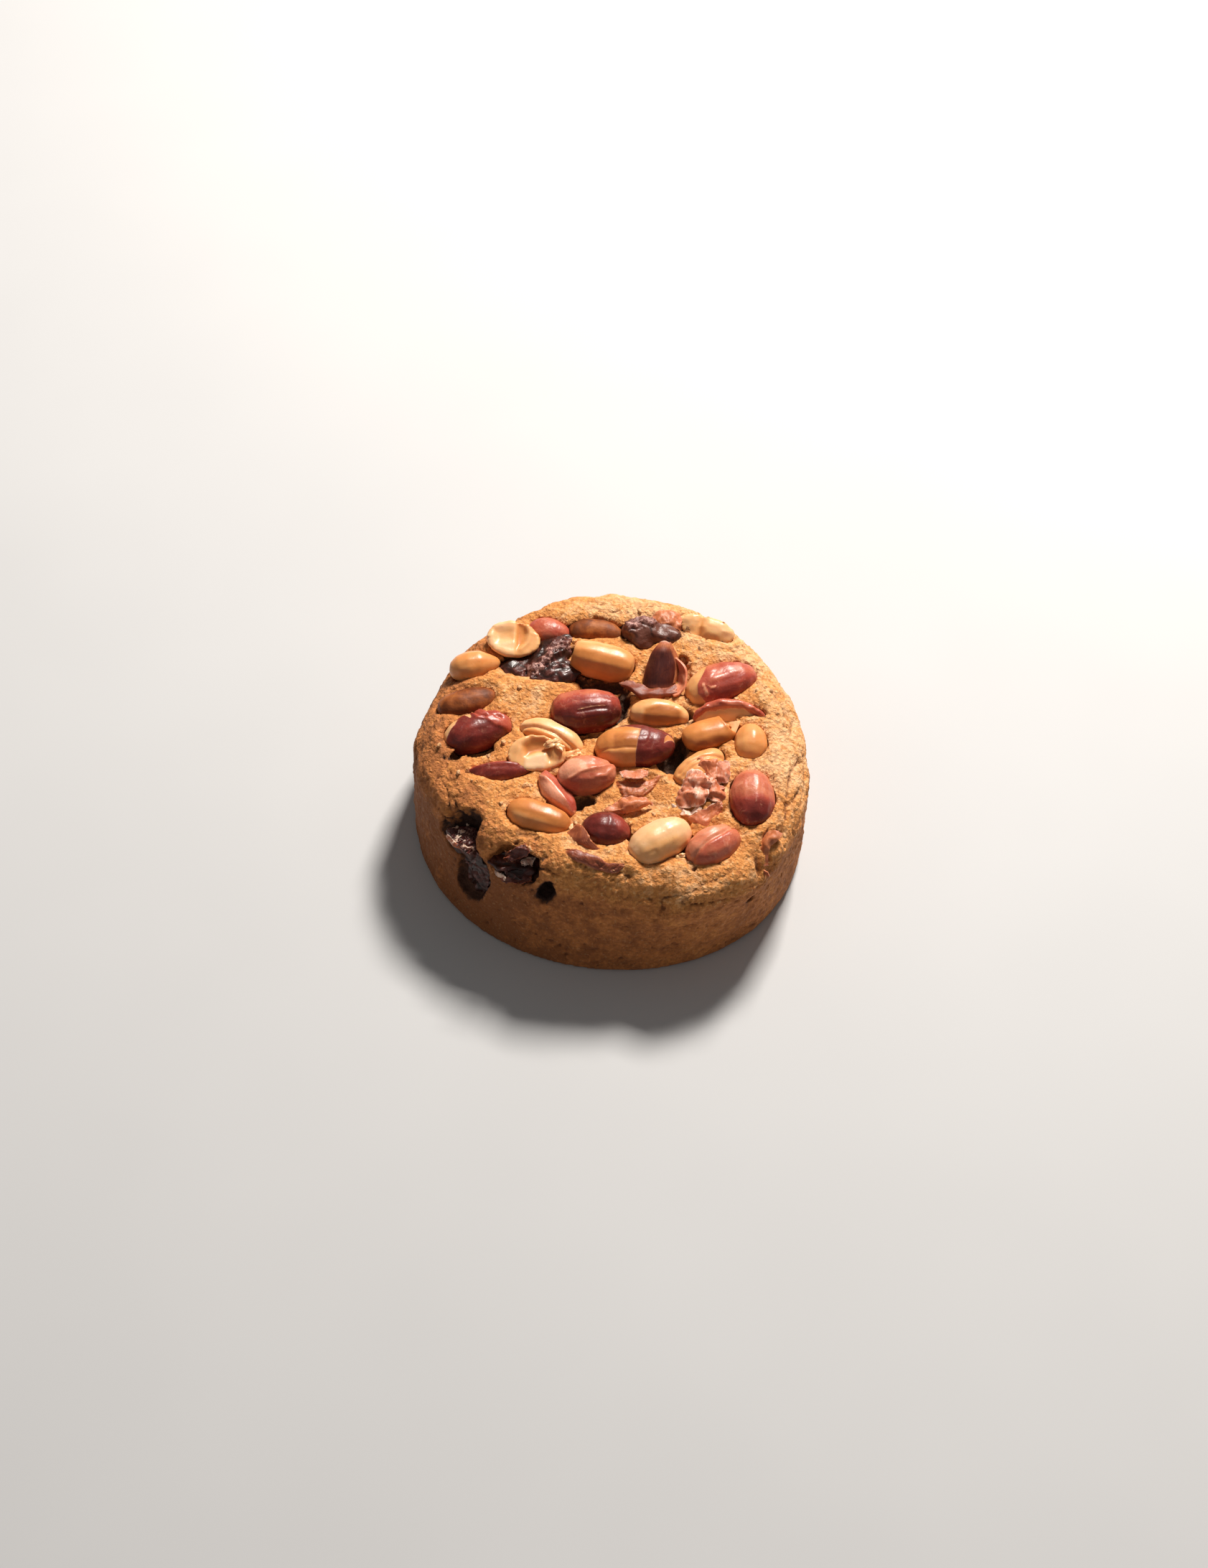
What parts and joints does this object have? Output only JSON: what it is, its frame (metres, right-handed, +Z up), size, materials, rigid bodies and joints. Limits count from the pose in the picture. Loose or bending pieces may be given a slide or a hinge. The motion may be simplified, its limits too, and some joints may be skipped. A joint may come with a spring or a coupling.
{
  "type": "peanut chocolate cookie",
  "caption": "Thick round baked cookie with straight sides and a rounded rim, its top set with whole, split and red-skinned peanuts, loose skins and melted chocolate chunks.",
  "frame": {"origin": "middle of the flat base, on the surface the cookie stands on", "axes": "+Z up through the nut-covered top, +Y towards the back of the cookie, away from the side it was seen from, +X to the right"},
  "size_m": [0.0869, 0.0882, 0.0327],
  "materials": {
    "dough": "baked crumb, rough",
    "blanched_kernel": "roasted kernel, smooth with a soft shine",
    "red_skin": "dark red skin, slightly wrinkled, soft shine",
    "torn_skin": "half red skin, half bare kernel",
    "dusted_kernel": "kernel under a thin film of dough",
    "split_kernel": "pale inner face of a kernel, satin",
    "chocolate": "melted and set chocolate, glossy folds",
    "loose_skin": "papery skin, satin"
  },
  "bodies": {
    "root": {"dough": "dough", "blanched_1": "blanched_kernel", "blanched_2": "blanched_kernel", "blanched_3": "blanched_kernel", "blanched_4": "blanched_kernel", "blanched_5": "blanched_kernel", "blanched_6": "blanched_kernel", "redskin_1": "red_skin", "redskin_2": "red_skin", "redskin_3": "red_skin", "redskin_4": "red_skin", "redskin_5": "red_skin", "redskin_6": "red_skin", "redskin_7": "red_skin", "torn_1": "torn_skin", "torn_2": "torn_skin", "dusted_1": "dusted_kernel", "dusted_2": "dusted_kernel", "split_1": "split_kernel", "split_2": "split_kernel", "split_3": "split_kernel", "split_4": "split_kernel", "split_5": "split_kernel", "split_6": "split_kernel", "split_7": "split_kernel", "split_8": "split_kernel", "split_9": "split_kernel", "split_10": "split_kernel", "chocolate_1": "chocolate", "chocolate_2": "chocolate", "chocolate_3": "chocolate", "chocolate_4": "chocolate", "chocolate_5": "chocolate", "skin_1": "loose_skin", "skin_2": "loose_skin", "skin_3": "loose_skin", "skin_4": "loose_skin", "skin_5": "loose_skin"}
  },
  "joints": []
}
